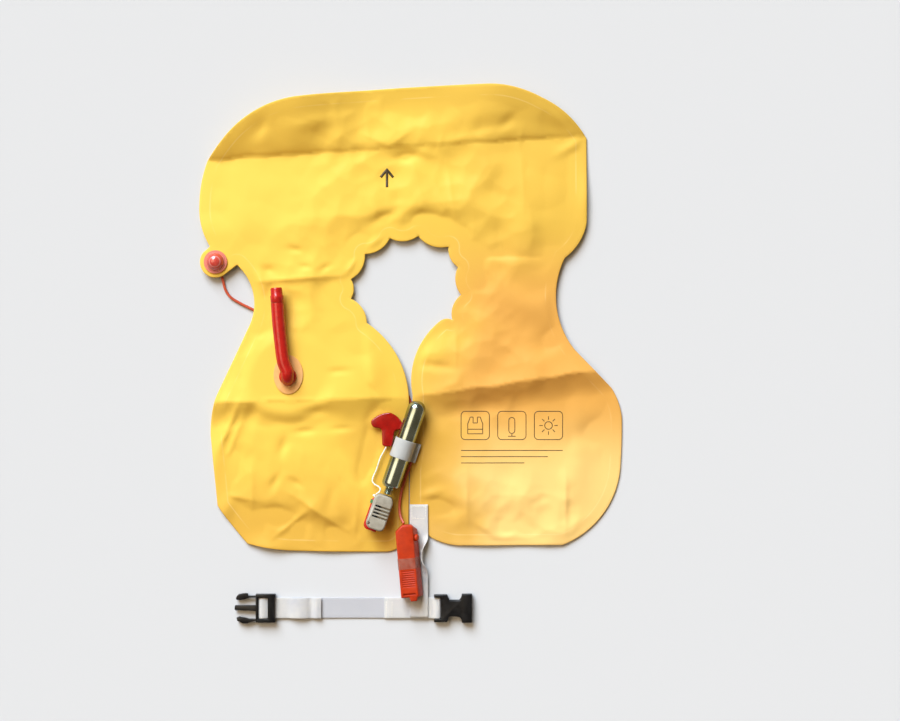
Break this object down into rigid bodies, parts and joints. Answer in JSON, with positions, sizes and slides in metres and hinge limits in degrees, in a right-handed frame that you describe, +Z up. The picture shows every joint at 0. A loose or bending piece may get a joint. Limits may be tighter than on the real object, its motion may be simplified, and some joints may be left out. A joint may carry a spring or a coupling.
{
  "type": "aircraft life vest",
  "caption": "Yellow inflatable life vest lying flat, with neck hole, gas cylinder and inflator, mouth tube, rescue lamp with battery, and waist belt with an open side-release buckle.",
  "frame": {"origin": "on the floor under the middle of the whole vest and belt as they lie", "axes": "+Y towards the top edge of the vest, +Z up out of its front side, +X to the right seen from above"},
  "size_m": [0.5081, 0.6472, 0.0308],
  "materials": {
    "cloth_front": "coated nylon, soft sheen",
    "cloth_back": "coated nylon, soft sheen",
    "red_plastic": "glossy moulding",
    "lens": "clear tinted moulding",
    "bulb": "clear glass envelope",
    "black_plastic": "satin moulding",
    "red_lead": "flat flexible sleeve",
    "orange_plastic": "satin moulding",
    "tape": "clear film",
    "plating": "zinc plated, polished",
    "white_webbing": "woven",
    "grey_casting": "satin moulding",
    "steel_pin": "plain",
    "green_plastic": "thin moulding",
    "white_cord": "braided",
    "patch": "welded film"
  },
  "bodies": {
    "vest": {"back_panel": "cloth_back", "front_panel": "cloth_front", "lamp_base": "black_plastic", "lamp_lens": "lens", "lamp_bulb": "bulb", "lamp_lead": "red_lead", "co2_cylinder": "plating", "cylinder_band": "white_webbing", "inflator_body": "grey_casting", "lever_pin": "steel_pin", "pull_tab": "red_plastic", "pull_lanyard": "white_cord", "oral_flange": "patch", "oral_tube": "red_plastic", "oral_mouthpiece": "red_plastic", "battery_case": "orange_plastic", "battery_plug": "orange_plastic", "battery_tape": "tape", "drop_strap": "white_webbing", "belt_webbing": "white_webbing", "buckle_male": "black_plastic", "buckle_female": "black_plastic"},
    "lever": {"inflator_lever": "red_plastic", "lever_clip": "green_plastic", "lanyard_knot": "white_cord"}
  },
  "joints": [
    {"name": "lever_swing", "type": "hinge", "parent": "vest", "child": "lever", "pos_m": [-0.04965, -0.1992, 0.0172], "axis": [0, 0, 1], "range_deg": [0, 75]}
  ]
}
